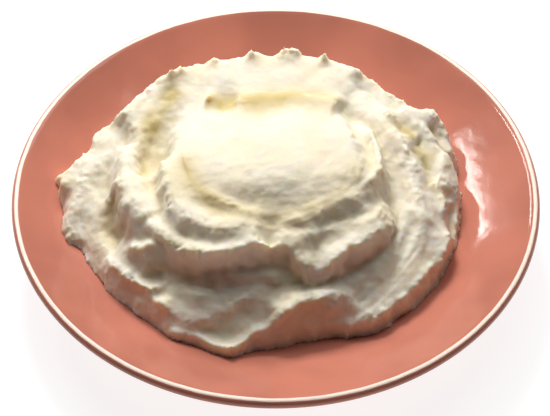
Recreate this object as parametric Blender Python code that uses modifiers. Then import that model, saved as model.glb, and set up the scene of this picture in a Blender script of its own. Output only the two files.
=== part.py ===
"""A side of mashed potato in a shallow round bowl.

Two pieces at real size, in metres, standing on z = 0 with the bowl's axis on Z:
the glazed bowl is one turned profile, and the mash is a low mound that strokes of a
spoon shape into folds and hollows, trimmed to the inside of the bowl.
The heap is worked out in millimetres and scaled once.
"""

import math
from typing import NamedTuple

import bmesh
import bpy
import numpy as np
from mathutils import noise

MM = 0.001

# Bowl, in millimetres
RIM_RADIUS = 100.0
BOWL_HEIGHT = 28.0
WALL = 4.0
FLOOR_HEIGHT = 10.0
FLOOR_RADIUS = 58.0
WALL_CURVE = 1.3
FOOT_RADIUS = 52.0
FOOT_WIDTH = 5.0
FOOT_HEIGHT = 5.5
TURNED_STEPS = 72
WALL_STEPS = 9
LIP_TURNS = (90.0, 60.0, 30.0, 0.0, -30.0)

# Mash, in millimetres
REST_GAP = 0.3
MOUND_CENTRE = (-4.5, -4.0)
MOUND_HALF_SIZE = (74.0, 63.0)
MOUND_RISE = 31.0
SHOULDER_FRONT = 1.0
SHOULDER_BACK = 0.5
SPOON_SAMPLES = 40
STROKE_FADE = 0.12
SPREAD = 1.15
HEAP_FINENESS = 6
SKIN_VOXEL = 2.0
SETTLING_PASSES = 1
MASH_TRIANGLES = 6000
WANDER_SEED = 7
WANDER_SIZE = 22.0
WANDER = 1.2
LUMP_SIZE = 9.0
LUMP_DEPTH = 0.8


class Stroke(NamedTuple):
    """One stroke of the spoon: points along it at their heights, and its reach.

    A ridge stands where the points lie over the heap, a furrow where they lie under.
    The reach is to the left and to the right of the way it runs. The crest is sharp at
    power 1, round at 2 and flat-topped over that, and lean tips it over to the right.
    """

    points: tuple
    left: float
    right: float
    power: float = 1.0
    lean: float = 0.0


STROKES = {
    "crown": Stroke(((-46, -4, 44), (-18, -8, 49.5), (6, -8.5, 50), (38, -3, 47.5)), 46, 18, 2.5),
    "back_rim": Stroke(
        ((-68, 6, 35), (-60, 20, 39.5), (-50, 31, 43), (-38, 41, 44.5), (-16, 48, 46), (4, 50, 45.5),
         (24, 46, 44.5), (38, 39.5, 41.5), (50, 33.5, 36.5), (60, 29, 33)), 8, 17, 4),
    "back_hollow": Stroke(
        ((-16, 26, 49), (-5, 28.5, 46.8), (6, 29.5, 46), (16, 28, 46.6), (25, 24, 49)), 6.5, 6.5, 1.8),
    "pocket": Stroke(((-27, 30, 48.5), (-20, 28.5, 42.5), (-14, 27.5, 48)), 4, 4.5, 2),
    "smile": Stroke(
        ((-37, 3, 49), (-33, -6, 48), (-30, -14.5, 47.5), (-21.5, -22.5, 47), (-7, -27.5, 46.3),
         (7, -26.5, 46.3), (20.5, -21, 47), (28.5, -13, 48), (30, 2, 49)), 4, 5),
    "inner_lobe": Stroke(
        ((-42, 6, 44), (-38, -11, 47), (-34, -24.5, 47), (-25, -32, 46.5), (-12, -32.5, 46),
         (-2, -31.5, 45)), 5, 5, 3, 1),
    "collar_lower": Stroke(
        ((-49, -18.5, 39), (-41, -30.5, 41.5), (-33, -38, 42), (-19, -40, 42.5), (-8, -37, 43),
         (3, -32.5, 43)), 7, 2.5, 1.5, 2.5),
    "collar_band": Stroke(
        ((-12, -33, 43), (-2.5, -32, 44), (12, -28, 45.5), (24.5, -21, 46.5), (34, -13, 47),
         (37.5, -5, 46.5), (36, 9.5, 45.5), (30, 26, 44)), 4, 4, 2, 1),
    "left_furrow": Stroke(
        ((-36, 38, 45), (-42, 31, 42.5), (-46.5, 21, 39), (-48, 12, 36.5), (-46, 5, 35),
         (-43.5, -1, 34)), 4.5, 5, 2.5),
    "left_ridge": Stroke(
        ((-42, 41, 43), (-52.5, 19, 41), (-56.5, 4, 40), (-55, -10, 40), (-49, -21, 39),
         (-42, -28, 38)), 5.5, 6, 3.5),
    "left_block": Stroke(((-51, -2, 40), (-51.5, -9, 41), (-50, -17, 41), (-46, -26, 40)), 5.5, 5.5, 4),
    "left_flank": Stroke(
        ((-62, 29, 33), (-67, 20, 32.5), (-71, 10, 32), (-75, -2, 28), (-77, -14, 23),
         (-73, -24, 20)), 6, 6, 2),
    "left_tip": Stroke(
        ((-54, 20, 36), (-65, 15, 33), (-73, 10, 30.5), (-79, 6, 28), (-84, 4, 26)), 7, 8, 3),
    "left_pocket": Stroke(((-60, -8, 34), (-62, -13, 28.5), (-63.5, -20, 24), (-58, -28, 24)), 4, 4, 1.5),
    "left_lump": Stroke(
        ((-62, -33, 25), (-57.5, -34, 29), (-53, -31, 33.5), (-47, -36, 33.5),
         (-45, -42, 30)), 4, 3, 1, 1),
    "right_ledge": Stroke(
        ((-8, -32, 38.5), (0, -34.5, 38.5), (7, -36.5, 38), (14.5, -44.5, 36.5), (22, -37.5, 38),
         (32, -32, 39), (39, -25.5, 39), (45, -15, 38)), 7, 2.5, 1.5, 3),
    "band_hollow": Stroke(
        ((-2, -31.5, 42), (7, -31, 41), (21.5, -28.5, 40), (34, -26, 40.5),
         (42, -15, 41)), 3, 4, 1.5),
    "undercut": Stroke(
        ((-48, -27.5, 36), (-40, -36.5, 35), (-25, -45.5, 34), (-10, -45, 33.5), (3, -45, 31),
         (16.5, -47, 27.5), (31, -39.5, 27), (42, -29, 29)), 3, 4, 2),
    "right_valley": Stroke(
        ((30, 38, 42), (33, 32, 41.5), (41, 20, 38.5), (45.5, 3.5, 35), (46, -10.5, 32),
         (43.5, -23, 29.5), (39.5, -36, 27.5), (33.5, -46.5, 25), (25, -53.5, 22.5)), 4, 4, 2),
    "sweep": Stroke(
        ((38, 36, 42), (44.5, 24.5, 42), (50.5, 5.5, 37.5), (53, -11.5, 35), (54.5, -23, 31),
         (47, -37, 27), (34.5, -50.5, 24), (26, -56.5, 23)), 5, 4, 3),
    "sweep_lip": Stroke(
        ((20, -57.5, 19.5), (34, -52.5, 21.5), (47, -41.5, 23), (57, -30, 24), (61, -20, 26),
         (59.5, -11.5, 29), (59, 9, 30.5)), 5, 3.5, 1.8, 3.5),
    "right_outer": Stroke(
        ((64.5, -22, 16.5), (66, -12, 19), (67, 0, 21.5), (67, 8, 23), (63, 20, 27)), 4, 3, 2, 1),
    "back_right": Stroke(
        ((30, 47.5, 40), (40, 40.5, 37.5), (49, 33.5, 34.5), (57, 34, 33.5), (62.5, 33.5, 33),
         (66, 27, 27), (69, 14, 22)), 4, 7, 3),
    "right_plane": Stroke(((48, 34, 39), (55, 25, 35.5), (60, 13, 31.5), (61, -4, 28)), 6, 4, 3),
    "right_pocket": Stroke(((43, 26, 41), (48, 22, 36.8), (54, 18, 35.5)), 3.5, 3.5, 2),
    "right_nick": Stroke(((52, 14, 35), (57, 12, 31.5), (61, 10, 30)), 4.5, 4, 2),
    "right_gap": Stroke(((57, 0, 32), (61, -3, 27.5), (65, -6, 24)), 3.5, 3.5, 2),
    "front_shelf": Stroke(
        ((-44, -44, 27), (-22, -50, 28), (0, -50.5, 26.5), (20, -47.5, 25)), 5, 6, 2.5),
    "front_ledge": Stroke(
        ((-64, -29, 24), (-58.5, -34, 25), (-47, -45, 25.5), (-36, -52, 25), (-25, -54.5, 25.5),
         (-13.5, -50, 27), (-2, -45, 29)), 4, 2.5, 1.5, 1.5),
    "front_fold": Stroke(((-52, -47, 20), (-38, -55, 20), (-20, -58, 20.5), (-6, -55, 22)), 2, 3, 1.5),
    "front_roll": Stroke(
        ((-43, -47, 20), (-40.5, -51, 24.5), (-35, -55.5, 25), (-26, -57, 24.5),
         (-14, -53.5, 25)), 3.5, 2.5, 2, 1.5),
    "toe_cut": Stroke(
        ((-13, -72, 6), (-4, -69, 6), (6, -66, 6), (18, -64, 6), (30, -61, 6),
         (42, -56.5, 6)), 5, 12, 6),
    "toe_fold": Stroke(((2, -58, 17.5), (10, -57.5, 18), (20, -56, 18), (30, -53, 18.5)), 3, 3, 2),
    "front_toe": Stroke(
        ((-44, -57, 17), (-29, -61.5, 19), (-17.5, -65.5, 19), (-9, -61.5, 20.5), (-1, -58, 21),
         (6, -54.5, 21)), 5, 2.5, 1.5, 2),
    "front_lump": Stroke(
        ((-5, -54.5, 24), (5, -54.5, 27.5), (14.5, -51.5, 28.5), (22, -50, 28), (30, -48, 24)), 5, 4, 3, 1),
}


def in_metres(points):
    return [tuple(MM * value for value in point) for point in points]


def material(name, color, roughness, coat=0.0):
    made = bpy.data.materials.new(name)
    made.use_nodes = True
    shader = made.node_tree.nodes["Principled BSDF"]
    shader.inputs["Base Color"].default_value = (*color, 1.0)
    shader.inputs["Roughness"].default_value = roughness
    shader.inputs["Metallic"].default_value = 0.0
    shader.inputs["Coat Weight"].default_value = coat
    return made


def new_object(name, mesh, group, finish=None):
    made = bpy.data.objects.new(name, mesh)
    group.objects.link(made)
    if finish:
        mesh.materials.append(finish)
    return made


# Bowl


def wall_end():
    """Radius of the inner wall's top, which leaves room for the rounded lip."""
    slope = wall_slope_at_top()
    return RIM_RADIUS - WALL / 2 - WALL / 2 * math.sin(slope)


def wall_slope_at_top():
    run = RIM_RADIUS - WALL - FLOOR_RADIUS
    rise = BOWL_HEIGHT - WALL / 2 - FLOOR_HEIGHT
    return math.atan(WALL_CURVE * rise / run)


def inner_height(radius):
    """Height of the bowl's inner surface: a flat floor, then a wall that steepens."""
    run = wall_end() - FLOOR_RADIUS
    rise = BOWL_HEIGHT - WALL / 2 * (1 - math.cos(wall_slope_at_top())) - FLOOR_HEIGHT
    share = max(0.0, (radius - FLOOR_RADIUS) / run)
    return FLOOR_HEIGHT + rise * share**WALL_CURVE


def inner_profile(lift=0.0):
    """Points from the axis to the top of the inner wall, moved up its normal by lift."""
    run = wall_end() - FLOOR_RADIUS
    radii = [FLOOR_RADIUS + run * i / WALL_STEPS for i in range(WALL_STEPS + 1)]
    points = [(0.0, FLOOR_HEIGHT + lift)]
    step = 0.01
    for radius in radii:
        rise = (inner_height(radius + step) - inner_height(radius - step)) / (2 * step)
        length = math.hypot(1.0, rise)
        points.append((radius - lift * rise / length, inner_height(radius) + lift / length))
    return points


def lip_profile():
    """The half-round lip, from the inner wall's top over to the outer wall's top."""
    slope = wall_slope_at_top()
    top_radius, top_height = inner_profile()[-1]
    radius = WALL / 2
    centre = (top_radius + radius * math.sin(slope), top_height - radius * math.cos(slope))
    lip = []
    for turn in LIP_TURNS:
        angle = math.radians(turn)
        lip.append((centre[0] + radius * math.cos(angle), centre[1] + radius * math.sin(angle)))
    return lip


def bowl_profile():
    outer = [point for point in reversed(inner_profile(lift=-WALL)) if point[0] > FOOT_RADIUS + 2.0]
    foot = [
        (FOOT_RADIUS, FOOT_HEIGHT),
        (FOOT_RADIUS, 0.6),
        (FOOT_RADIUS - 0.6, 0.0),
        (FOOT_RADIUS - FOOT_WIDTH + 0.6, 0.0),
        (FOOT_RADIUS - FOOT_WIDTH, 0.6),
        (FOOT_RADIUS - FOOT_WIDTH - 1.0, FOOT_HEIGHT),
        (0.0, FOOT_HEIGHT),
    ]
    return inner_profile() + lip_profile() + outer + foot


def turned(name, profile, group, finish=None):
    """A solid of revolution: the profile, in millimetres, swept round Z by a Screw."""
    mesh = bpy.data.meshes.new(name)
    points = in_metres((radius, 0.0, height) for radius, height in profile)
    mesh.from_pydata(points, [(i, i + 1) for i in range(len(points) - 1)], [])
    made = new_object(name, mesh, group, finish)
    screw = made.modifiers.new("Turn", "SCREW")
    screw.steps = screw.render_steps = TURNED_STEPS
    screw.use_merge_vertices = True
    screw.merge_threshold = 0.0001
    screw.use_smooth_shade = True
    return made


# Mash


def shoulder(x, y):
    """How the mound falls: steep-sided behind and beside, an even slope in front."""
    bearing = np.arctan2(y - MOUND_CENTRE[1], x - MOUND_CENTRE[0])
    front = np.clip(-np.sin(bearing), 0.0, 1.0) ** 2
    return SHOULDER_BACK + (SHOULDER_FRONT - SHOULDER_BACK) * front


def mound_height(x, y):
    """Height of the plain mound under the spoon's strokes."""
    across = (x - MOUND_CENTRE[0]) / MOUND_HALF_SIZE[0]
    along = (y - MOUND_CENTRE[1]) / MOUND_HALF_SIZE[1]
    inside = np.clip(1.0 - across**2 - along**2, 0.0, 1.0)
    return FLOOR_HEIGHT + MOUND_RISE * inside ** shoulder(x, y)


def drawn(points):
    """A smooth line through a stroke's points, as evenly many samples a span."""
    knots = np.array((points[0], *points, points[-1]), float)
    spans = len(points) - 1
    line = []
    for i in range(SPOON_SAMPLES + 1):
        where = min(spans - 1e-6, spans * i / SPOON_SAMPLES)
        span, t = int(where), where - int(where)
        a, b, c, d = knots[span : span + 4]
        curve = 2 * b + (c - a) * t + (2 * a - 5 * b + 4 * c - d) * t**2 + (3 * b - a - 3 * c + d) * t**3
        line.append(curve / 2)
    return np.array(line)


def nearest_on(line, plan):
    """Distance to the line, share of its length there, and the way across it."""
    starts, runs = line[:-1, :2], np.diff(line[:, :2], axis=0)
    best = np.full(len(plan), np.inf)
    share = np.zeros(len(plan))
    across = np.zeros_like(plan)
    side = np.zeros(len(plan))
    for i, (start, run) in enumerate(zip(starts, runs)):
        t = np.clip((plan - start) @ run / (run @ run), 0.0, 1.0)
        offset = plan - start - t[:, None] * run
        distance = np.linalg.norm(offset, axis=1)
        closer = distance < best
        best[closer] = distance[closer]
        share[closer] = (i + t[closer]) / len(runs)
        right = np.array((run[1], -run[0])) / np.linalg.norm(run)
        across[closer] = right
        side[closer] = (offset @ right)[closer]
    return best, share, across, side


def held(stroke, line, spots):
    """Share along the stroke, its hold on each spot, and how far each spot leans."""
    distance, share, across, side = nearest_on(line, spots)
    reach = np.where(side < 0.0, stroke.left, stroke.right)
    fade = np.clip(np.minimum(share, 1.0 - share) / STROKE_FADE, 0.0, 1.0)
    fade = fade * fade * (3.0 - 2.0 * fade)
    hold = fade * np.exp(-((distance / reach) ** stroke.power))
    tip = stroke.lean * fade * np.exp(-((distance / stroke.right) ** 2))
    return share, hold, across * tip[:, None]


def stroked(plan, height):
    """Heights after every stroke, and how far each spot leans sideways."""
    lean = np.zeros_like(plan)
    for stroke in STROKES.values():
        line = drawn(stroke.points)
        share, hold, sway = held(stroke, line, plan)
        level = np.interp(share, np.linspace(0.0, 1.0, len(line)), line[:, 2])
        height = height + (level - height) * hold
        lean += sway
    return height, lean


def add_heap(heap):
    """The mound with every stroke in it, on a sphere whose lower half is in the bowl."""
    noise.seed_set(WANDER_SEED)
    bmesh.ops.create_icosphere(heap, subdivisions=HEAP_FINENESS, radius=1.0)
    ball = np.array([vert.co for vert in heap.verts])
    plan = SPREAD * ball[:, :2] * MOUND_HALF_SIZE + MOUND_CENTRE
    height = mound_height(plan[:, 0], plan[:, 1])
    shaped, lean = stroked(plan, height)
    upper = np.clip(ball[:, 2] * 4.0, 0.0, 1.0)
    level = np.where(ball[:, 2] < 0.0, 2 * FLOOR_HEIGHT - height, height + (shaped - height) * upper)
    placed = np.column_stack([plan + lean * upper[:, None], level])
    for vert, spot in zip(heap.verts, placed):
        vert.co = spot
        vert.co += WANDER * noise.noise_vector(vert.co / WANDER_SIZE)


def roughen(heap):
    """Low uneven lumps over the whole heap."""
    heap.normal_update()
    for vert in heap.verts:
        push = LUMP_DEPTH * noise.fractal(vert.co / LUMP_SIZE, 0.8, 2.0, 3)
        vert.co += vert.normal * push


def evened(heap, group):
    """The heap's skin in faces of one size, in millimetres."""
    mesh = bpy.data.meshes.new("heap")
    heap.to_mesh(mesh)
    heap.free()
    made = new_object("heap", mesh, group)
    remesh = made.modifiers.new("Even", "REMESH")
    remesh.mode = "VOXEL"
    remesh.voxel_size = SKIN_VOXEL
    skin = bpy.data.meshes.new_from_object(made.evaluated_get(bpy.context.evaluated_depsgraph_get()))
    bpy.data.objects.remove(made)
    bpy.data.meshes.remove(mesh)
    return skin


def make_mash(group, cutters, finish):
    heap = bmesh.new()
    add_heap(heap)
    skin = evened(heap, group)
    heap = bmesh.new()
    heap.from_mesh(skin)
    for _ in range(SETTLING_PASSES):
        bmesh.ops.smooth_vert(
            heap, verts=heap.verts, factor=0.5, use_axis_x=True, use_axis_y=True, use_axis_z=True)
    roughen(heap)
    bmesh.ops.scale(heap, vec=(MM, MM, MM), verts=heap.verts)
    heap.to_mesh(skin)
    heap.free()
    mash = new_object("mash", skin, group, finish)
    thin = mash.modifiers.new("Thin", "DECIMATE")
    thin.use_collapse_triangulate = True
    thin.ratio = min(1.0, MASH_TRIANGLES / (2 * len(skin.polygons)))
    trim = mash.modifiers.new("Trim", "BOOLEAN")
    trim.operation = "INTERSECT"
    trim.object = bowl_inside(cutters)
    skin.shade_smooth()
    return mash


def bowl_inside(cutters):
    """The space over the bowl's inner surface, the rest gap above it."""
    profile = inner_profile(lift=REST_GAP)
    top = 3 * BOWL_HEIGHT
    profile = [(0.0, top), (RIM_RADIUS, top), (RIM_RADIUS, profile[-1][1])] + profile[::-1]
    space = turned("bowl_inside", profile, cutters)
    space.hide_render = True
    space.display_type = "WIRE"
    return space


def main():
    for old in list(bpy.data.objects):
        bpy.data.objects.remove(old)
    scene = bpy.context.scene.collection
    dish = bpy.data.collections.new("mashed_potato_side")
    cutters = bpy.data.collections.new("cutters")
    scene.children.link(dish)
    scene.children.link(cutters)
    glaze = material("salmon_glaze", (0.57, 0.20, 0.14), 0.25, coat=0.5)
    potato = material("potato", (0.90, 0.82, 0.64), 0.55)
    turned("bowl", bowl_profile(), dish, glaze)
    make_mash(dish, cutters, potato)


main()
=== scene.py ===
"""Looks for a side of mashed potato: its glazed bowl, the spooned heap, and the stage.

Run it as a script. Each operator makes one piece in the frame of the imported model, and
the sizes and colours that a user would change are in the property groups.
"""

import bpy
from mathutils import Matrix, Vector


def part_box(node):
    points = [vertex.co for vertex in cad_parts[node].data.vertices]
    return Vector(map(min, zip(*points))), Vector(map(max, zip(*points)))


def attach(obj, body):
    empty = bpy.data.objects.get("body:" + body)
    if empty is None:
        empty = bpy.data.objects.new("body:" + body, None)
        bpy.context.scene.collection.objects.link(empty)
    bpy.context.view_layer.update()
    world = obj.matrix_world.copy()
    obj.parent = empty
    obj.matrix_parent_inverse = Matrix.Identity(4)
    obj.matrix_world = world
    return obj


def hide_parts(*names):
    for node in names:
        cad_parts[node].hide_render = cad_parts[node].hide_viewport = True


bl_info = {
    "name": "Mashed potato side",
    "version": (1, 0, 0),
    "blender": (4, 5, 0),
    "location": "3D View > Sidebar > Mash",
    "description": "Makes a bowl of spooned mashed potato and its stage",
    "category": "Object",
}

import math
from typing import NamedTuple

import bmesh
import bpy
import numpy as np
from bpy.props import FloatProperty, FloatVectorProperty, IntProperty, PointerProperty
from mathutils import Quaternion, Vector, noise

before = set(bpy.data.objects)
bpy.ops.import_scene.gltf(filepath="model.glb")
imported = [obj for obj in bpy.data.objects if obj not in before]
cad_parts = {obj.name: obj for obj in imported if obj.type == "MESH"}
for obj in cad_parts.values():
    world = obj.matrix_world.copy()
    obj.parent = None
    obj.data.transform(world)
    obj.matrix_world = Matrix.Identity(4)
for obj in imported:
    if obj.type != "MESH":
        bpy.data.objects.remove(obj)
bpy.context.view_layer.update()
BOWL_LOW, BOWL_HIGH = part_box("bowl")

MM = 0.001


class Stroke(NamedTuple):
    """One stroke of the spoon: points along it at their heights, and its reach.

    A ridge stands where the points lie over the heap, a furrow where they lie under.
    The reach is to the left and to the right of the way it runs. The crest is sharp at
    power 1, round at 2 and flat-topped over that, and lean tips it over to the right.
    """

    points: tuple
    left: float
    right: float
    power: float = 1.0
    lean: float = 0.0


STROKES = {
    "crown": Stroke(((-46, -4, 44), (-18, -8, 49.5), (6, -8.5, 50), (38, -3, 47.5)), 46, 18, 2.5),
    "back_rim": Stroke(
        ((-68, 6, 35), (-60, 20, 39.5), (-50, 31, 43), (-38, 41, 44.5), (-16, 48, 46), (4, 50, 45.5),
         (24, 46, 44.5), (38, 39.5, 41.5), (50, 33.5, 36.5), (60, 29, 33)), 8, 17, 4),
    "back_hollow": Stroke(
        ((-16, 26, 49), (-5, 28.5, 46.8), (6, 29.5, 46), (16, 28, 46.6), (25, 24, 49)), 6.5, 6.5, 1.8),
    "pocket": Stroke(((-27, 30, 48.5), (-20, 28.5, 42.5), (-14, 27.5, 48)), 4, 4.5, 2),
    "smile": Stroke(
        ((-37, 3, 49), (-33, -6, 48), (-30, -14.5, 47.5), (-21.5, -22.5, 47), (-7, -27.5, 46.3),
         (7, -26.5, 46.3), (20.5, -21, 47), (28.5, -13, 48), (30, 2, 49)), 4, 5),
    "inner_lobe": Stroke(
        ((-42, 6, 44), (-38, -11, 47), (-34, -24.5, 47), (-25, -32, 46.5), (-12, -32.5, 46),
         (-2, -31.5, 45)), 5, 5, 3, 1),
    "collar_lower": Stroke(
        ((-49, -18.5, 39), (-41, -30.5, 41.5), (-33, -38, 42), (-19, -40, 42.5), (-8, -37, 43),
         (3, -32.5, 43)), 7, 2.5, 1.5, 2.5),
    "collar_band": Stroke(
        ((-12, -33, 43), (-2.5, -32, 44), (12, -28, 45.5), (24.5, -21, 46.5), (34, -13, 47),
         (37.5, -5, 46.5), (36, 9.5, 45.5), (30, 26, 44)), 4, 4, 2, 1),
    "left_furrow": Stroke(
        ((-36, 38, 45), (-42, 31, 42.5), (-46.5, 21, 39), (-48, 12, 36.5), (-46, 5, 35),
         (-43.5, -1, 34)), 4.5, 5, 2.5),
    "left_ridge": Stroke(
        ((-42, 41, 43), (-52.5, 19, 41), (-56.5, 4, 40), (-55, -10, 40), (-49, -21, 39),
         (-42, -28, 38)), 5.5, 6, 3.5),
    "left_block": Stroke(((-51, -2, 40), (-51.5, -9, 41), (-50, -17, 41), (-46, -26, 40)), 5.5, 5.5, 4),
    "left_flank": Stroke(
        ((-62, 29, 33), (-67, 20, 32.5), (-71, 10, 32), (-75, -2, 28), (-77, -14, 23),
         (-73, -24, 20)), 6, 6, 2),
    "left_tip": Stroke(
        ((-54, 20, 36), (-65, 15, 33), (-73, 10, 30.5), (-79, 6, 28), (-84, 4, 26)), 7, 8, 3),
    "left_pocket": Stroke(((-60, -8, 34), (-62, -13, 28.5), (-63.5, -20, 24), (-58, -28, 24)), 4, 4, 1.5),
    "left_lump": Stroke(
        ((-62, -33, 25), (-57.5, -34, 29), (-53, -31, 33.5), (-47, -36, 33.5),
         (-45, -42, 30)), 4, 3, 1, 1),
    "right_ledge": Stroke(
        ((-8, -32, 38.5), (0, -34.5, 38.5), (7, -36.5, 38), (14.5, -44.5, 36.5), (22, -37.5, 38),
         (32, -32, 39), (39, -25.5, 39), (45, -15, 38)), 7, 2.5, 1.5, 3),
    "band_hollow": Stroke(
        ((-2, -31.5, 42), (7, -31, 41), (21.5, -28.5, 40), (34, -26, 40.5),
         (42, -15, 41)), 3, 4, 1.5),
    "undercut": Stroke(
        ((-48, -27.5, 36), (-40, -36.5, 35), (-25, -45.5, 34), (-10, -45, 33.5), (3, -45, 31),
         (16.5, -47, 27.5), (31, -39.5, 27), (42, -29, 29)), 3, 4, 2),
    "right_valley": Stroke(
        ((30, 38, 42), (33, 32, 41.5), (41, 20, 38.5), (45.5, 3.5, 35), (46, -10.5, 32),
         (43.5, -23, 29.5), (39.5, -36, 27.5), (33.5, -46.5, 25), (25, -53.5, 22.5)), 4, 4, 2),
    "sweep": Stroke(
        ((38, 36, 42), (44.5, 24.5, 42), (50.5, 5.5, 37.5), (53, -11.5, 35), (54.5, -23, 31),
         (47, -37, 27), (34.5, -50.5, 24), (26, -56.5, 23)), 5, 4, 3),
    "sweep_lip": Stroke(
        ((20, -57.5, 19.5), (34, -52.5, 21.5), (47, -41.5, 23), (57, -30, 24), (61, -20, 26),
         (59.5, -11.5, 29), (59, 9, 30.5)), 5, 3.5, 1.8, 3.5),
    "right_outer": Stroke(
        ((64.5, -22, 16.5), (66, -12, 19), (67, 0, 21.5), (67, 8, 23), (63, 20, 27)), 4, 3, 2, 1),
    "back_right": Stroke(
        ((30, 47.5, 40), (40, 40.5, 37.5), (49, 33.5, 34.5), (57, 34, 33.5), (62.5, 33.5, 33),
         (66, 27, 27), (69, 14, 22)), 4, 7, 3),
    "right_plane": Stroke(((48, 34, 39), (55, 25, 35.5), (60, 13, 31.5), (61, -4, 28)), 6, 4, 3),
    "right_pocket": Stroke(((43, 26, 41), (48, 22, 36.8), (54, 18, 35.5)), 3.5, 3.5, 2),
    "right_nick": Stroke(((52, 14, 35), (57, 12, 31.5), (61, 10, 30)), 4.5, 4, 2),
    "right_gap": Stroke(((57, 0, 32), (61, -3, 27.5), (65, -6, 24)), 3.5, 3.5, 2),
    "front_shelf": Stroke(
        ((-44, -44, 27), (-22, -50, 28), (0, -50.5, 26.5), (20, -47.5, 25)), 5, 6, 2.5),
    "front_ledge": Stroke(
        ((-64, -29, 24), (-58.5, -34, 25), (-47, -45, 25.5), (-36, -52, 25), (-25, -54.5, 25.5),
         (-13.5, -50, 27), (-2, -45, 29)), 4, 2.5, 1.5, 1.5),
    "front_fold": Stroke(((-52, -47, 20), (-38, -55, 20), (-20, -58, 20.5), (-6, -55, 22)), 2, 3, 1.5),
    "front_roll": Stroke(
        ((-43, -47, 20), (-40.5, -51, 24.5), (-35, -55.5, 25), (-26, -57, 24.5),
         (-14, -53.5, 25)), 3.5, 2.5, 2, 1.5),
    "toe_cut": Stroke(
        ((-13, -72, 6), (-4, -69, 6), (6, -66, 6), (18, -64, 6), (30, -61, 6),
         (42, -56.5, 6)), 5, 12, 6),
    "toe_fold": Stroke(((2, -58, 17.5), (10, -57.5, 18), (20, -56, 18), (30, -53, 18.5)), 3, 3, 2),
    "front_toe": Stroke(
        ((-44, -57, 17), (-29, -61.5, 19), (-17.5, -65.5, 19), (-9, -61.5, 20.5), (-1, -58, 21),
         (6, -54.5, 21)), 5, 2.5, 1.5, 2),
    "front_lump": Stroke(
        ((-5, -54.5, 24), (5, -54.5, 27.5), (14.5, -51.5, 28.5), (22, -50, 28), (30, -48, 24)), 5, 4, 3, 1),
}


# Small torn peaks: where they stand and how tall they are, in millimetres
PEAKS = (
    (-40.5, 41.5, 6.0), (-37.0, 44.0, 4.5), (-24.0, 50.0, 3.0), (-9.5, 53.0, 5.5), (3.0, 54.0, 6.0),
    (7.0, 53.5, 4.5), (19.5, 51.5, 5.5), (31.0, 46.0, 3.0), (-17.0, -68.0, 2.5), (-46.0, -34.0, 3.0),
)
PEAK_WIDTH = 1.8

# Share of buttery yellow in the hollows that hold some: pooled melt in part, painted shade in part
BUTTER_AND_SHADE = {
    "back_hollow": 1.0, "pocket": 1.0, "smile": 0.9, "left_furrow": 1.0, "left_pocket": 0.8,
    "right_pocket": 0.9, "right_nick": 0.8, "right_gap": 0.5, "band_hollow": 0.3,
}

# Depth of the lines along the strokes that show them, and their size, in millimetres
STREAKS = {
    "smile": 0.3, "inner_lobe": 0.3, "collar_band": 0.4, "sweep": 0.45, "right_valley": 0.4,
    "right_ledge": 0.3, "left_ridge": 0.3, "left_flank": 0.35, "front_shelf": 0.4, "front_toe": 0.25,
}
STREAK_WIDTH = 2.2
STREAK_LENGTH = 22.0

# Mound under the strokes, in millimetres
REST_SINK = 0.4
MOUND_CENTRE = (-4.5, -4.0)
MOUND_HALF_SIZE = (74.0, 63.0)
MOUND_RISE = 31.0
SHOULDER_FRONT = 1.0
SHOULDER_BACK = 0.5
SPOON_SAMPLES = 40
STROKE_FADE = 0.12
SPREAD = 1.15
WANDER_SEED = 7
WANDER_SIZE = 22.0
WANDER = 1.2

# Surface of the heap: passes of averaging, and sizes in millimetres
CREST_PASSES = 8
HOLLOW_PASSES = 60
# Painted shade: share of buttery yellow laid into every concave hollow, by its depth
HOLLOW_SHADE = 0.5
TEAR_SIZE = 3.6
TEAR_DEPTH = 0.75
TEAR_SPACING = 12.0
GRAIN_SIZE = 1.6
GRAIN_DEPTH = 0.28

# Bowl profile, in millimetres
FLOOR_HEIGHT = 10.0
FLOOR_RADIUS = 58.0
WALL_CURVE = 1.3
FOOT_RADIUS = 52.0
FOOT_WIDTH = 5.0
FOOT_HEIGHT = 5.5
WALL_STEPS = 28
LIP_STEPS = 10


class BowlSettings(bpy.types.PropertyGroup):
    wall: FloatProperty(
        name="Wall", description="Thickness of the wall and of the round lip",
        default=0.004, min=0.002, max=0.008, subtype="DISTANCE", unit="LENGTH")
    around: IntProperty(
        name="Steps round", description="Steps that the profile is spun in", default=192, min=24, max=360)
    glaze: FloatVectorProperty(
        name="Glaze", description="Colour of the glaze where it lies thick",
        default=(0.50, 0.18, 0.127), size=3, min=0.0, max=1.0, subtype="COLOR")
    lip: FloatVectorProperty(
        name="Lip", description="Colour of the glaze where it breaks thin on the lip",
        default=(0.95, 0.80, 0.70), size=3, min=0.0, max=1.0, subtype="COLOR")
    clay: FloatVectorProperty(
        name="Clay", description="Colour of the bare foot ring",
        default=(0.62, 0.47, 0.35), size=3, min=0.0, max=1.0, subtype="COLOR")


class MashSettings(bpy.types.PropertyGroup):
    fineness: FloatProperty(
        name="Fineness", description="Edge length of the heap's faces",
        default=0.0008, min=0.0006, max=0.004, subtype="DISTANCE", unit="LENGTH")
    raggedness: FloatProperty(
        name="Raggedness", description="How far the torn lips wander",
        default=0.0013, min=0.0, max=0.004, subtype="DISTANCE", unit="LENGTH")
    potato: FloatVectorProperty(
        name="Potato", description="Colour of the mash",
        default=(0.86, 0.80, 0.67), size=3, min=0.0, max=1.0, subtype="COLOR")
    # Buttery yellow, darkened so that it also paints shade into the hollows
    butter_and_shade: FloatVectorProperty(
        name="Butter", description="Colour where melted butter has pooled",
        default=(0.64, 0.51, 0.23), size=3, min=0.0, max=1.0, subtype="COLOR")


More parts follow.
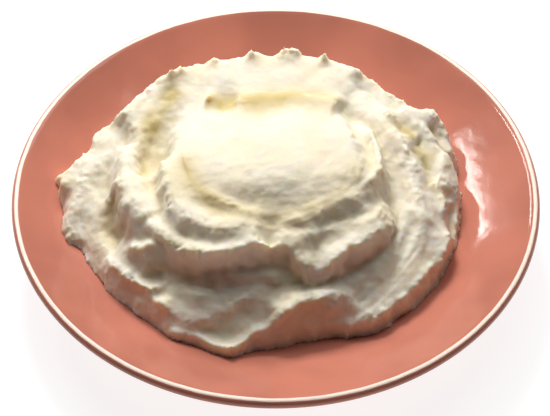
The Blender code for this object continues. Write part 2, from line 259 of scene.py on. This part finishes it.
class StageSettings(bpy.types.PropertyGroup):
    elevation: FloatProperty(
        name="Camera elevation", description="Angle of the view down onto the dish",
        default=math.radians(49.0528), min=0.0, max=math.pi / 2, subtype="ANGLE", unit="ROTATION")
    distance: FloatProperty(
        name="Camera distance", description="From the camera to the point it aims at",
        default=0.69075, min=0.3, max=3.0, subtype="DISTANCE", unit="LENGTH")
    floor: FloatVectorProperty(
        name="Floor", description="Colour of the floor", default=(0.30, 0.30, 0.30),
        size=3, min=0.0, max=1.0, subtype="COLOR")
    key: FloatProperty(
        name="Key", description="Power of the soft light from behind on the left",
        default=10.5, min=0.0, max=200.0, subtype="POWER", unit="POWER")
    top: FloatProperty(
        name="Top", description="Power of the broad light high up behind",
        default=5.0, min=0.0, max=200.0, subtype="POWER", unit="POWER")
    strip: FloatProperty(
        name="Strip", description="Power of the narrow light beside the key",
        default=1.6, min=0.0, max=200.0, subtype="POWER", unit="POWER")
    fill: FloatProperty(
        name="Fill", description="Strength of the light from all round", default=0.05, min=0.0, max=2.0)


# Helpers


def add_piece(name, mesh, finish, node):
    """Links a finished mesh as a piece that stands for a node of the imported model."""
    piece = bpy.data.objects.new(name, mesh)
    bpy.context.scene.collection.objects.link(piece)
    mesh.materials.append(finish)
    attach(piece, "root")
    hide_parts(node)
    return piece


def new_material(name):
    made = bpy.data.materials.new(name)
    made.use_nodes = True
    return made, made.node_tree.nodes, made.node_tree.links, made.node_tree.nodes["Principled BSDF"]


def math_node(tree, operation, first, second=None):
    node = tree.nodes.new("ShaderNodeMath")
    node.operation = operation
    for socket, value in zip(node.inputs, (first, second)):
        if value is None:
            continue
        if isinstance(value, bpy.types.NodeSocket):
            tree.links.new(value, socket)
        else:
            socket.default_value = value
    return node.outputs[0]


def noise_node(tree, vector, scale, detail=3.0, roughness=0.5):
    node = tree.nodes.new("ShaderNodeTexNoise")
    node.inputs["Scale"].default_value = scale
    node.inputs["Detail"].default_value = detail
    node.inputs["Roughness"].default_value = roughness
    tree.links.new(vector, node.inputs["Vector"])
    return node.outputs["Fac"]


def ramp(tree, value, low, high, start=0.0, end=1.0):
    """Carries value from between low and high to between start and end, smoothly."""
    node = tree.nodes.new("ShaderNodeMapRange")
    node.interpolation_type = "SMOOTHSTEP"
    tree.links.new(value, node.inputs["Value"])
    for name, number in (("From Min", low), ("From Max", high), ("To Min", start), ("To Max", end)):
        node.inputs[name].default_value = number
    return node.outputs["Result"]


def mixed(tree, factor, first, second, blend="MIX"):
    node = tree.nodes.new("ShaderNodeMix")
    node.data_type = "RGBA"
    node.blend_type = blend
    factor_in, first_in, second_in = node.inputs[0], node.inputs[6], node.inputs[7]
    for socket, value in ((factor_in, factor), (first_in, first), (second_in, second)):
        if isinstance(value, bpy.types.NodeSocket):
            tree.links.new(value, socket)
        elif isinstance(value, float):
            socket.default_value = value
        else:
            socket.default_value = (*value, 1.0)
    return node.outputs[2]


# Bowl


def wall_slope(wall):
    run = BOWL_HIGH.x / MM - wall - FLOOR_RADIUS
    rise = BOWL_HIGH.z / MM - wall / 2 - FLOOR_HEIGHT
    return math.atan(WALL_CURVE * rise / run)


def inner_height(radius, wall=4.0):
    """Height of the bowl's inner surface: a flat floor, then a wall that steepens."""
    slope = wall_slope(wall)
    run = BOWL_HIGH.x / MM - wall / 2 - wall / 2 * math.sin(slope) - FLOOR_RADIUS
    rise = BOWL_HIGH.z / MM - wall / 2 * (1 - math.cos(slope)) - FLOOR_HEIGHT
    share = np.clip((radius - FLOOR_RADIUS) / run, 0.0, None)
    return FLOOR_HEIGHT + rise * share**WALL_CURVE


def offset_profile(wall, lift):
    """The inner surface from the axis to the lip, moved up its normal by lift."""
    slope = wall_slope(wall)
    top = BOWL_HIGH.x / MM - wall / 2 - wall / 2 * math.sin(slope)
    points = [(0.0, FLOOR_HEIGHT + lift), (FLOOR_RADIUS * 0.7, FLOOR_HEIGHT + lift)]
    for i in range(WALL_STEPS + 1):
        radius = FLOOR_RADIUS + (top - FLOOR_RADIUS) * i / WALL_STEPS
        rise = (inner_height(radius + 0.01, wall) - inner_height(radius - 0.01, wall)) / 0.02
        length = math.hypot(1.0, rise)
        points.append((radius - lift * rise / length, inner_height(radius, wall) + lift / length))
    return points


def bowl_profile(wall):
    slope = wall_slope(wall)
    inner = offset_profile(wall, 0.0)
    outer = [point for point in reversed(offset_profile(wall, -wall)) if point[0] > FOOT_RADIUS + 2.0]
    half = wall / 2
    centre = (inner[-1][0] + half * math.sin(slope), inner[-1][1] - half * math.cos(slope))
    lip = []
    for i in range(1, LIP_STEPS):
        turn = slope + math.pi / 2 - math.pi * i / LIP_STEPS
        lip.append((centre[0] + half * math.cos(turn), centre[1] + half * math.sin(turn)))
    foot = [
        (FOOT_RADIUS + 0.8, FOOT_HEIGHT + 0.25),
        (FOOT_RADIUS + 0.1, FOOT_HEIGHT - 0.5),
        (FOOT_RADIUS, 0.8),
        (FOOT_RADIUS - 0.25, 0.25),
        (FOOT_RADIUS - 0.8, 0.0),
        (FOOT_RADIUS - FOOT_WIDTH + 0.8, 0.0),
        (FOOT_RADIUS - FOOT_WIDTH + 0.25, 0.25),
        (FOOT_RADIUS - FOOT_WIDTH, 0.8),
        (FOOT_RADIUS - FOOT_WIDTH - 0.2, FOOT_HEIGHT - 0.6),
        (FOOT_RADIUS - FOOT_WIDTH - 1.2, FOOT_HEIGHT),
        (0.0, FOOT_HEIGHT),
    ]
    return inner + lip + outer + foot


def glaze_material(settings):
    made, nodes, links, shader = new_material("salmon_glaze")
    tree = made.node_tree
    place = nodes.new("ShaderNodeTexCoord").outputs["Object"]
    parts = nodes.new("ShaderNodeSeparateXYZ")
    links.new(place, parts.inputs["Vector"])
    across = math_node(tree, "MULTIPLY", parts.outputs["X"], parts.outputs["X"])
    along = math_node(tree, "MULTIPLY", parts.outputs["Y"], parts.outputs["Y"])
    radius = math_node(tree, "SQRT", math_node(tree, "ADD", across, along))
    height = parts.outputs["Z"]
    broad = noise_node(tree, place, 28.0, 2.0)
    fine = noise_node(tree, place, 420.0, 4.0, 0.6)
    deep = tuple(0.90 * value for value in settings.glaze)
    pale = tuple(min(1.0, 1.10 * value) for value in settings.glaze)
    glaze = mixed(tree, ramp(tree, broad, 0.35, 0.65), deep, pale)
    dark = tuple(0.8 * value for value in pale)
    speck = mixed(tree, ramp(tree, fine, 0.62, 0.74, 0.0, 0.35), glaze, dark)
    swing = math_node(tree, "SUBTRACT", noise_node(tree, place, 90.0), 0.5)
    waver = math_node(tree, "MULTIPLY", swing, 0.0006)
    edge = math_node(tree, "ADD", radius, waver)
    over = ramp(tree, height, 0.0266, 0.0272)
    inner = ramp(tree, edge, 0.0972, 0.0976)
    outer = ramp(tree, edge, 0.0986, 0.0990, 1.0, 0.0)
    thin = math_node(tree, "MULTIPLY", math_node(tree, "MULTIPLY", inner, outer), over)
    lip = mixed(tree, thin, speck, tuple(settings.lip))
    low = ramp(tree, height, 0.0012, 0.0020, 1.0, 0.0)
    bare = math_node(tree, "MULTIPLY", low, ramp(tree, radius, 0.045, 0.046))
    links.new(mixed(tree, bare, lip, tuple(settings.clay)), shader.inputs["Base Color"])
    links.new(ramp(tree, bare, 0.0, 1.0, 0.10, 0.75), shader.inputs["Roughness"])
    shader.inputs["IOR"].default_value = 1.4
    bump = nodes.new("ShaderNodeBump")
    bump.inputs["Strength"].default_value = 0.15
    bump.inputs["Distance"].default_value = 0.0004
    links.new(noise_node(tree, place, 160.0, 2.0), bump.inputs["Height"])
    links.new(bump.outputs["Normal"], shader.inputs["Normal"])
    return made


class MASHSIDE_OT_bowl(bpy.types.Operator):
    """Spins the glazed bowl from one profile"""

    bl_idname = "mashside.bowl"
    bl_label = "Make the bowl"

    def execute(self, context):
        settings = context.scene.mashside_bowl
        shape = bmesh.new()
        profile = bowl_profile(settings.wall / MM)
        points = [shape.verts.new((radius * MM, 0.0, height * MM)) for radius, height in profile]
        edges = [shape.edges.new(pair) for pair in zip(points, points[1:])]
        bmesh.ops.spin(
            shape, geom=points + edges, cent=(0, 0, 0), axis=(0, 0, 1), dvec=(0, 0, 0),
            angle=2 * math.pi, steps=settings.around, use_merge=True)
        bmesh.ops.remove_doubles(shape, verts=shape.verts, dist=1e-6)
        bmesh.ops.recalc_face_normals(shape, faces=shape.faces)
        mesh = bpy.data.meshes.new("glazed_bowl")
        shape.to_mesh(mesh)
        shape.free()
        mesh.shade_smooth()
        add_piece("glazed_bowl", mesh, glaze_material(settings), "bowl")
        return {"FINISHED"}


# Mash


def shoulder(x, y):
    """How the mound falls: steep-sided behind and beside, an even slope in front."""
    bearing = np.arctan2(y - MOUND_CENTRE[1], x - MOUND_CENTRE[0])
    front = np.clip(-np.sin(bearing), 0.0, 1.0) ** 2
    return SHOULDER_BACK + (SHOULDER_FRONT - SHOULDER_BACK) * front


def mound_height(x, y):
    """Height of the plain mound under the spoon's strokes."""
    across = (x - MOUND_CENTRE[0]) / MOUND_HALF_SIZE[0]
    along = (y - MOUND_CENTRE[1]) / MOUND_HALF_SIZE[1]
    inside = np.clip(1.0 - across**2 - along**2, 0.0, 1.0)
    return FLOOR_HEIGHT + MOUND_RISE * inside ** shoulder(x, y)


def drawn(points):
    """A smooth line through a stroke's points, as evenly many samples a span."""
    knots = np.array((points[0], *points, points[-1]), float)
    spans = len(points) - 1
    line = []
    for i in range(SPOON_SAMPLES + 1):
        where = min(spans - 1e-6, spans * i / SPOON_SAMPLES)
        span, t = int(where), where - int(where)
        a, b, c, d = knots[span : span + 4]
        curve = 2 * b + (c - a) * t + (2 * a - 5 * b + 4 * c - d) * t**2 + (3 * b - a - 3 * c + d) * t**3
        line.append(curve / 2)
    return np.array(line)


def nearest_on(line, plan):
    """Distance to the line, share of its length there, and the way across it."""
    starts, runs = line[:-1, :2], np.diff(line[:, :2], axis=0)
    best = np.full(len(plan), np.inf)
    share = np.zeros(len(plan))
    across = np.zeros_like(plan)
    side = np.zeros(len(plan))
    for i, (start, run) in enumerate(zip(starts, runs)):
        t = np.clip((plan - start) @ run / (run @ run), 0.0, 1.0)
        offset = plan - start - t[:, None] * run
        distance = np.linalg.norm(offset, axis=1)
        closer = distance < best
        best[closer] = distance[closer]
        share[closer] = (i + t[closer]) / len(runs)
        right = np.array((run[1], -run[0])) / np.linalg.norm(run)
        across[closer] = right
        side[closer] = (offset @ right)[closer]
    return best, share, across, side


def held(stroke, line, spots):
    """Share along the stroke, its hold on each spot, and how far each spot leans."""
    distance, share, across, side = nearest_on(line, spots)
    reach = np.where(side < 0.0, stroke.left, stroke.right)
    fade = np.clip(np.minimum(share, 1.0 - share) / STROKE_FADE, 0.0, 1.0)
    fade = fade * fade * (3.0 - 2.0 * fade)
    hold = fade * np.exp(-((distance / reach) ** stroke.power))
    tip = stroke.lean * fade * np.exp(-((distance / stroke.right) ** 2))
    return share, hold, across * tip[:, None]


def stroked(plan, height):
    """Heights after every stroke, and how far each spot leans sideways."""
    lean = np.zeros_like(plan)
    for stroke in STROKES.values():
        line = drawn(stroke.points)
        share, hold, sway = held(stroke, line, plan)
        level = np.interp(share, np.linspace(0.0, 1.0, len(line)), line[:, 2])
        height = height + (level - height) * hold
        lean += sway
    return height, lean


def ragged(plan, amount):
    """Small sideways steps that tear the lips and creases."""
    steps = np.empty_like(plan)
    for i, (x, y) in enumerate(plan):
        coarse = Vector((x / 9.0, y / 9.0, 3.7))
        steps[i, 0] = noise.fractal(coarse, 0.45, 2.2, 4)
        steps[i, 1] = noise.fractal(coarse + Vector((31.4, 15.9, 2.6)), 0.45, 2.2, 4)
    return plan + amount * steps


def heap_mesh(settings):
    """The mound with every stroke in it, laid on the bowl's inner surface."""
    noise.seed_set(WANDER_SEED)
    heap = bmesh.new()
    bmesh.ops.create_icosphere(heap, subdivisions=8, radius=1.0)
    ball = np.array([vert.co for vert in heap.verts])
    plan = SPREAD * ball[:, :2] * MOUND_HALF_SIZE + MOUND_CENTRE
    height = mound_height(plan[:, 0], plan[:, 1])
    shaped, lean = stroked(ragged(plan, settings.raggedness / MM), height)
    for x, y, tall in PEAKS:
        shaped += tall * np.exp(-np.hypot(plan[:, 0] - x, plan[:, 1] - y) / PEAK_WIDTH)
    upper = np.clip(ball[:, 2] * 4.0, 0.0, 1.0)
    level = np.where(ball[:, 2] < 0.0, 0.0, height + (shaped - height) * upper)
    placed = np.column_stack([plan + lean * upper[:, None], level])
    for vert, spot in zip(heap.verts, placed):
        vert.co = spot
        vert.co += WANDER * noise.noise_vector(vert.co / WANDER_SIZE)
        floor = float(inner_height(math.hypot(vert.co.x, vert.co.y))) - REST_SINK
        vert.co.z = max(vert.co.z, floor)
    mesh = bpy.data.meshes.new("heap")
    heap.to_mesh(mesh)
    heap.free()
    return mesh


def evened(mesh, voxel):
    """The same skin in faces of one size."""
    made = bpy.data.objects.new("heap", mesh)
    bpy.context.scene.collection.objects.link(made)
    remesh = made.modifiers.new("Even", "REMESH")
    remesh.mode = "VOXEL"
    remesh.voxel_size = voxel
    skin = bpy.data.meshes.new_from_object(made.evaluated_get(bpy.context.evaluated_depsgraph_get()))
    bpy.data.objects.remove(made)
    bpy.data.meshes.remove(mesh)
    drop_crumbs(skin)
    skin.vertices.foreach_set("co", averaged(positions(skin), joined_pairs(skin), 1).ravel())
    skin.update()
    return skin


def drop_crumbs(skin):
    """Leaves only the heap that holds the highest vertex."""
    shape = bmesh.new()
    shape.from_mesh(skin)
    top = max(shape.verts, key=lambda vert: vert.co.z)
    heap, waiting = {top}, [top]
    while waiting:
        for edge in waiting.pop().link_edges:
            for vert in edge.verts:
                if vert not in heap:
                    heap.add(vert)
                    waiting.append(vert)
    crumbs = [vert for vert in shape.verts if vert not in heap]
    bmesh.ops.delete(shape, geom=crumbs, context="VERTS")
    shape.to_mesh(skin)
    shape.free()


def positions(mesh, field="co"):
    values = np.empty(3 * len(mesh.vertices))
    mesh.vertices.foreach_get(field, values)
    return values.reshape(-1, 3)


def joined_pairs(mesh):
    pairs = np.empty(2 * len(mesh.edges), np.int64)
    mesh.edges.foreach_get("vertices", pairs)
    return pairs.reshape(-1, 2)


def averaged(values, pairs, passes):
    """Each vertex's values drawn towards its neighbours' mean, as often as passes says."""
    count = len(values)
    degree = np.bincount(pairs.ravel(), minlength=count)
    for _ in range(passes):
        near = np.empty_like(values)
        for axis in range(values.shape[1]):
            column = values[:, axis]
            near[:, axis] = np.bincount(pairs[:, 0], column[pairs[:, 1]], count)
            near[:, axis] += np.bincount(pairs[:, 1], column[pairs[:, 0]], count)
        values = near / degree[:, None]
    return values


def stepped(values, low, high):
    share = np.clip((values - low) / (high - low), 0.0, 1.0)
    return share * share * (3.0 - 2.0 * share)


def relief(mesh, pairs, passes):
    """How far each vertex stands over the skin round it, in millimetres."""
    spots = positions(mesh)
    return np.einsum("ij,ij->i", spots - averaged(spots, pairs, passes), positions(mesh, "normal"))


def pooled(plan):
    """How much buttery yellow lies at each spot: melted fat pooled there, and painted shade in the hollows.
    """
    depth = np.zeros(len(plan))
    for name, amount in BUTTER_AND_SHADE.items():
        stroke = STROKES[name]
        hold = held(stroke, drawn(stroke.points), plan)[1]
        depth = np.maximum(depth, amount * hold)
    return depth


def streaked(plan):
    """Faint lines that the spoon's edge draws along its strokes."""
    depth = np.zeros(len(plan))
    for name, amount in STREAKS.items():
        line = drawn(STROKES[name].points)
        share, hold, _ = held(STROKES[name], line, plan)
        distance = nearest_on(line, plan)[0]
        length = np.linalg.norm(np.diff(line[:, :2], axis=0), axis=1).sum()
        for i in np.flatnonzero(hold > 0.05):
            place = Vector((distance[i] / STREAK_WIDTH, share[i] * length / STREAK_LENGTH, length))
            depth[i] += amount * hold[i] * noise.fractal(place, 0.7, 2.0, 2)
    return depth


def roughened(skin):
    """Tears the crests, leaves the smeared faces smooth and marks the hollows with buttery yellow for
    pooled melt and painted shade.
    """
    pairs = joined_pairs(skin)
    spots, normals = positions(skin), positions(skin, "normal")
    crest = stepped(relief(skin, pairs, CREST_PASSES), 0.04, 0.30)
    crest = averaged(crest[:, None], pairs, 3)[:, 0]
    push = streaked(spots[:, :2])
    for i, spot in enumerate(spots):
        place = Vector(spot)
        low = noise.fractal(place / 10.0, 0.8, 2.0, 3)
        torn = noise.fractal(place / TEAR_SIZE, 0.35, 2.2, 4)
        torn *= 0.5 + 2.5 * max(0.0, noise.noise(place / TEAR_SPACING))
        grain = noise.fractal(place / GRAIN_SIZE, 0.6, 2.2, 3)
        push[i] += 0.45 * low + crest[i] * TEAR_DEPTH * torn + GRAIN_DEPTH * (0.4 + crest[i]) * grain
    spots = spots + push[:, None] * normals
    skin.vertices.foreach_set("co", (spots * MM).ravel())
    skin.update()
    # Painted shade: the deeper the hollow, the more buttery yellow it gets
    hollow = stepped(-relief(skin, pairs, HOLLOW_PASSES) / MM, 0.1, 1.5)
    butter_and_shade = skin.attributes.new("butter_and_shade", "FLOAT", "POINT")
    butter_and_shade.data.foreach_set("value", np.clip(pooled(spots[:, :2]) + HOLLOW_SHADE * hollow, 0.0, 1.0))
    skin.shade_smooth()


def potato_material(settings):
    made, nodes, links, shader = new_material("mashed_potato")
    tree = made.node_tree
    place = nodes.new("ShaderNodeTexCoord").outputs["Object"]
    butter_and_shade = nodes.new("ShaderNodeAttribute")
    butter_and_shade.attribute_name = "butter_and_shade"
    broad = noise_node(tree, place, 45.0, 3.0)
    patches = noise_node(tree, place, 60.0, 2.0)
    warm = tuple(value * shade for value, shade in zip(settings.potato, (0.99, 0.96, 0.86)))
    plain = mixed(tree, ramp(tree, broad, 0.42, 0.66, 0.0, 0.8), tuple(settings.potato), warm)
    # Buttery yellow in the hollows: pooled melt and painted shade
    share = math_node(tree, "MULTIPLY", butter_and_shade.outputs["Fac"], ramp(tree, patches, 0.40, 0.60, 0.55, 1.0))
    links.new(mixed(tree, share, plain, tuple(settings.butter_and_shade)), shader.inputs["Base Color"])
    shader.inputs["Roughness"].default_value = 0.42
    shader.inputs["Subsurface Weight"].default_value = 0.6
    shader.inputs["Subsurface Radius"].default_value = (1.0, 0.7, 0.35)
    shader.inputs["Subsurface Scale"].default_value = 0.004
    grain = noise_node(tree, place, 700.0, 4.0, 0.6)
    bump = nodes.new("ShaderNodeBump")
    bump.inputs["Strength"].default_value = 0.35
    bump.inputs["Distance"].default_value = 0.0003
    links.new(grain, bump.inputs["Height"])
    links.new(bump.outputs["Normal"], shader.inputs["Normal"])
    return made


class MASHSIDE_OT_mash(bpy.types.Operator):
    """Spoons the heap of mash"""

    bl_idname = "mashside.mash"
    bl_label = "Make the mash"

    def execute(self, context):
        settings = context.scene.mashside_mash
        skin = evened(heap_mesh(settings), settings.fineness / MM)
        roughened(skin)
        skin.name = "spooned_mash"
        add_piece("spooned_mash", skin, potato_material(settings), "mash")
        return {"FINISHED"}


# Stage


class MASHSIDE_OT_stage(bpy.types.Operator):
    """Sets the floor, the light and the camera"""

    bl_idname = "mashside.stage"
    bl_label = "Make the stage"

    def execute(self, context):
        scene = context.scene
        settings = scene.mashside_stage
        scene.view_settings.view_transform = "Standard"
        shape = bmesh.new()
        bmesh.ops.create_grid(shape, x_segments=1, y_segments=1, size=2.0)
        mesh = bpy.data.meshes.new("floor")
        shape.to_mesh(mesh)
        shape.free()
        floor = bpy.data.objects.new("floor", mesh)
        scene.collection.objects.link(floor)
        finish, _, _, shader = new_material("pale_floor")
        shader.inputs["Base Color"].default_value = (*settings.floor, 1.0)
        shader.inputs["Roughness"].default_value = 0.9
        shader.inputs["Specular IOR Level"].default_value = 0.0
        shader.inputs["Emission Color"].default_value = (1.0, 1.0, 1.0, 1.0)
        shader.inputs["Emission Strength"].default_value = 0.85
        mesh.materials.append(finish)

        world = bpy.data.worlds.new("studio")
        world.use_nodes = True
        world.node_tree.nodes["Background"].inputs["Color"].default_value = (1.0, 1.0, 1.0, 1.0)
        world.node_tree.nodes["Background"].inputs["Strength"].default_value = settings.fill
        scene.world = world

        middle = Vector((0.0, 0.0, 0.03))
        for name, side, rise, width, length, tilt, power, colour in (
            ("key", 9.0, 44.0, 0.28, 0.28, 0.0, settings.key, (1.0, 0.97, 0.92)),
            ("top", -5.0, 62.0, 1.0, 0.5, 0.0, settings.top, (1.0, 1.0, 1.0)),
            ("strip", 37.8, 38.9, 0.030, 0.5, -39.0, settings.strip, (1.0, 0.98, 0.95)),
        ):
            lamp = bpy.data.lights.new(name, "AREA")
            lamp.shape = "RECTANGLE"
            lamp.size = width
            lamp.size_y = length
            lamp.energy = power
            lamp.color = colour
            light = bpy.data.objects.new(name, lamp)
            scene.collection.objects.link(light)
            side, rise = math.radians(side), math.radians(rise)
            level = math.cos(rise)
            toward = Vector((-math.sin(side) * level, math.cos(side) * level, math.sin(rise)))
            light.visible_glossy = name != "key"
            light.location = middle + toward
            light.rotation_mode = "QUATERNION"
            facing = toward.to_track_quat("Z", "Y")
            light.rotation_quaternion = facing @ Quaternion((0, 0, 1), math.radians(tilt))

        lens = bpy.data.cameras.new("view")
        lens.lens = 120.0
        lens.sensor_width = 36.0
        camera = bpy.data.objects.new("view", lens)
        scene.collection.objects.link(camera)
        aim = Vector((-0.0003, -0.0090, 0.026))
        back = Vector((0.0, -math.cos(settings.elevation), math.sin(settings.elevation)))
        camera.location = aim + back * settings.distance
        camera.rotation_mode = "QUATERNION"
        camera.rotation_quaternion = back.to_track_quat("Z", "Y")
        scene.camera = camera
        return {"FINISHED"}


class MASHSIDE_PT_panel(bpy.types.Panel):
    """Sizes, colours and steps of the dish"""

    bl_idname = "MASHSIDE_PT_panel"
    bl_label = "Mashed potato side"
    bl_space_type = "VIEW_3D"
    bl_region_type = "UI"
    bl_category = "Mash"

    def draw(self, context):
        for group, step in (("bowl", "bowl"), ("mash", "mash"), ("stage", "stage")):
            box = self.layout.box()
            settings = getattr(context.scene, f"mashside_{group}")
            for name in settings.__annotations__:
                box.prop(settings, name)
            box.operator(f"mashside.{step}")


CLASSES = (
    BowlSettings,
    MashSettings,
    StageSettings,
    MASHSIDE_OT_bowl,
    MASHSIDE_OT_mash,
    MASHSIDE_OT_stage,
    MASHSIDE_PT_panel,
)


def register():
    for cls in CLASSES:
        bpy.utils.register_class(cls)
    bpy.types.Scene.mashside_bowl = PointerProperty(type=BowlSettings)
    bpy.types.Scene.mashside_mash = PointerProperty(type=MashSettings)
    bpy.types.Scene.mashside_stage = PointerProperty(type=StageSettings)


def unregister():
    del bpy.types.Scene.mashside_stage
    del bpy.types.Scene.mashside_mash
    del bpy.types.Scene.mashside_bowl
    for cls in reversed(CLASSES):
        bpy.utils.unregister_class(cls)


def main():
    register()
    bpy.ops.mashside.bowl()
    bpy.ops.mashside.mash()
    bpy.ops.mashside.stage()


if __name__ == "__main__":
    main()
